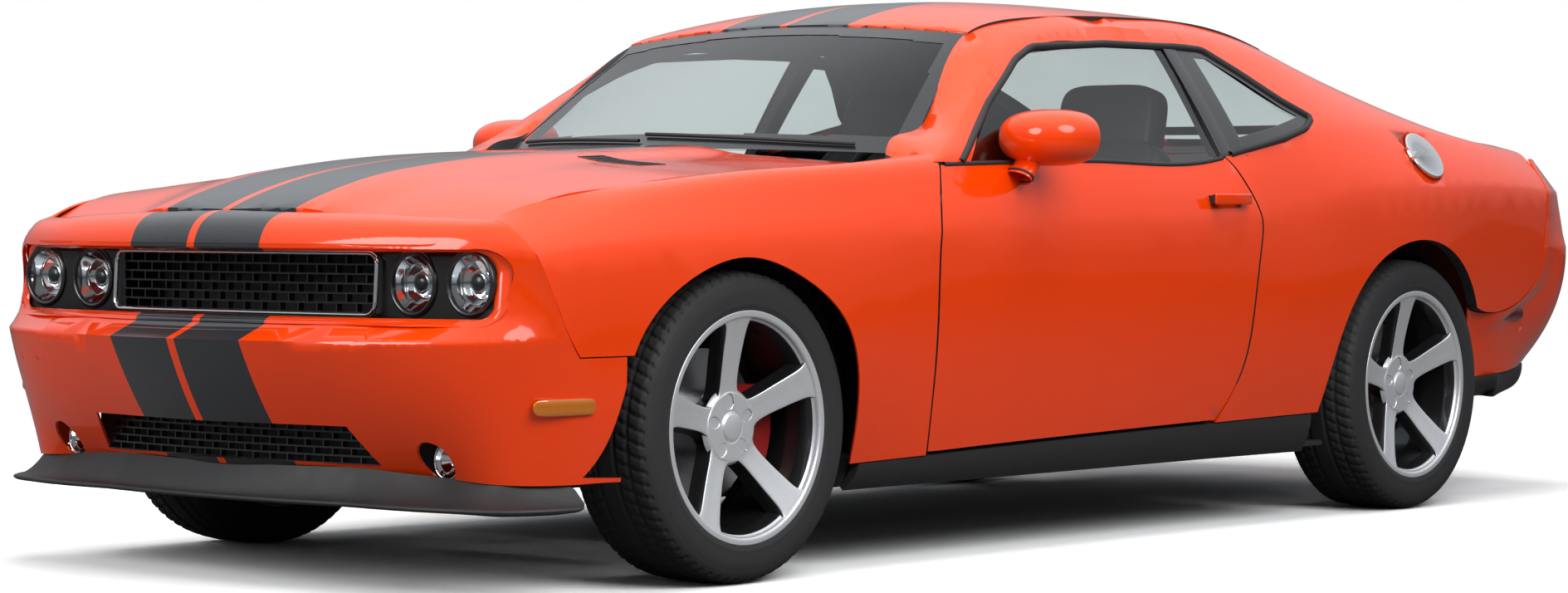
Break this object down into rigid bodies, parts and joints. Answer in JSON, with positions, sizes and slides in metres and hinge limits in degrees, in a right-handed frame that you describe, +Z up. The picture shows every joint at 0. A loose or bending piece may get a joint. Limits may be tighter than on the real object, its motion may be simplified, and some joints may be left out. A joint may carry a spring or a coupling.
{
  "type": "muscle car",
  "caption": "Two-door muscle car with raised hood, round lamps in a dark nose band, dished spoked wheels, steering, opening doors and lids.",
  "frame": {"origin": "on the ground under the middle of the bounding box", "axes": "+X forward, +Y to the car's left, +Z up"},
  "size_m": [5.022, 2.1602, 1.4497],
  "materials": {
    "body_paint": "gloss",
    "structure_paint": "satin",
    "black_trim": "satin",
    "gloss_black": "gloss",
    "clear_glass": "gloss",
    "red_lens": "gloss",
    "lamp_metal": "polished",
    "cap_chrome": "polished",
    "tyre_rubber": "matte",
    "wheel_alloy": "machined",
    "disc_iron": "machined",
    "caliper_red": "gloss",
    "chassis_steel": "satin",
    "engine_metal": "satin",
    "pipe_steel": "brushed",
    "dash_plastic": "matte",
    "wheel_leather": "satin",
    "seat_leather": "satin"
  },
  "bodies": {
    "body": {"fenders": "body_paint", "body_sides": "body_paint", "fixed_glass": "clear_glass", "front_fascia": "body_paint", "front_splitter": "black_trim", "rear_fascia": "body_paint", "tail_lamps": "red_lens", "rear_valance": "black_trim", "cowl_panel": "black_trim", "roof_panel": "body_paint", "rear_deck_panel": "body_paint", "sills": "black_trim", "grille": "gloss_black", "front_lamps": "lamp_metal", "front_suspension": "chassis_steel", "rear_suspension": "chassis_steel", "rear_calipers": "caliper_red", "floor_pan": "structure_paint", "wheel_liners": "black_trim", "engine_block": "engine_metal", "exhaust": "pipe_steel", "dashboard": "dash_plastic", "seats": "seat_leather"},
    "door_left": {"door_left": "body_paint", "door_glass_left": "clear_glass", "mirror_left": "body_paint"},
    "door_right": {"door_right": "body_paint", "door_glass_right": "clear_glass", "mirror_right": "body_paint"},
    "hood": {"hood": "body_paint", "hood_vents": "black_trim"},
    "trunk_lid": {"trunk_lid": "body_paint", "rear_spoiler": "body_paint"},
    "fuel_door": {"fuel_door": "cap_chrome"},
    "steer_left": {"knuckle_front_left": "chassis_steel", "caliper_front_left": "caliper_red"},
    "steer_right": {"knuckle_front_right": "chassis_steel", "caliper_front_right": "caliper_red"},
    "steering_wheel": {"steering_wheel": "wheel_leather"},
    "wheel_front_left": {"tyre_front_left": "tyre_rubber", "rim_front_left": "wheel_alloy", "brake_disc_front_left": "disc_iron"},
    "wheel_front_right": {"tyre_front_right": "tyre_rubber", "rim_front_right": "wheel_alloy", "brake_disc_front_right": "disc_iron"},
    "wheel_rear_left": {"tyre_rear_left": "tyre_rubber", "rim_rear_left": "wheel_alloy", "brake_disc_rear_left": "disc_iron"},
    "wheel_rear_right": {"tyre_rear_right": "tyre_rubber", "rim_rear_right": "wheel_alloy", "brake_disc_rear_right": "disc_iron"}
  },
  "joints": [
    {"name": "door_left_hinge", "type": "hinge", "parent": "body", "child": "door_left", "pos_m": [0.77053, 0.88747, 0.6], "axis": [0, 0, -1], "range_deg": [0, 65]},
    {"name": "door_right_hinge", "type": "hinge", "parent": "body", "child": "door_right", "pos_m": [0.77053, -0.88747, 0.6], "axis": [0, 0, 1], "range_deg": [0, 65]},
    {"name": "hood_hinge", "type": "hinge", "parent": "body", "child": "hood", "pos_m": [0.89992, 0, 0.94497], "axis": [0, -1, 0], "range_deg": [0, 50]},
    {"name": "trunk_hinge", "type": "hinge", "parent": "body", "child": "trunk_lid", "pos_m": [-1.79002, 0, 1.05197], "axis": [0, 1, 0], "range_deg": [0, 65]},
    {"name": "fuel_door_hinge", "type": "hinge", "parent": "body", "child": "fuel_door", "pos_m": [-1.34867, 0.92923, 1.01431], "axis": [0, 0.5605, -0.8282], "range_deg": [0, 80]},
    {"name": "steer_left", "type": "hinge", "parent": "body", "child": "steer_left", "pos_m": [1.561, 0.7, 0.364], "axis": [0, 0, 1], "range_deg": [-32, 32]},
    {"name": "steer_right", "type": "hinge", "parent": "body", "child": "steer_right", "pos_m": [1.561, -0.7, 0.364], "axis": [0, 0, 1], "range_deg": [-32, 32]},
    {"name": "steering_column", "type": "hinge", "parent": "body", "child": "steering_wheel", "pos_m": [0.30895, 0.37018, 0.8845], "axis": [-0.9135, 0, 0.4067], "range_deg": [-515, 515]},
    {"name": "roll_front_left", "type": "hinge", "parent": "steer_left", "child": "wheel_front_left", "pos_m": [1.561, 0.8, 0.364], "axis": [0, 1, 0], "continuous": true},
    {"name": "roll_front_right", "type": "hinge", "parent": "steer_right", "child": "wheel_front_right", "pos_m": [1.561, -0.8, 0.364], "axis": [0, 1, 0], "continuous": true},
    {"name": "roll_rear_left", "type": "hinge", "parent": "body", "child": "wheel_rear_left", "pos_m": [-1.385, 0.8, 0.364], "axis": [0, 1, 0], "continuous": true},
    {"name": "roll_rear_right", "type": "hinge", "parent": "body", "child": "wheel_rear_right", "pos_m": [-1.385, -0.8, 0.364], "axis": [0, 1, 0], "continuous": true}
  ],
  "couplings": [
    {"joint": "steer_right", "follows": "steer_left", "ratio": 1},
    {"joint": "steering_column", "follows": "steer_left", "ratio": 16}
  ]
}
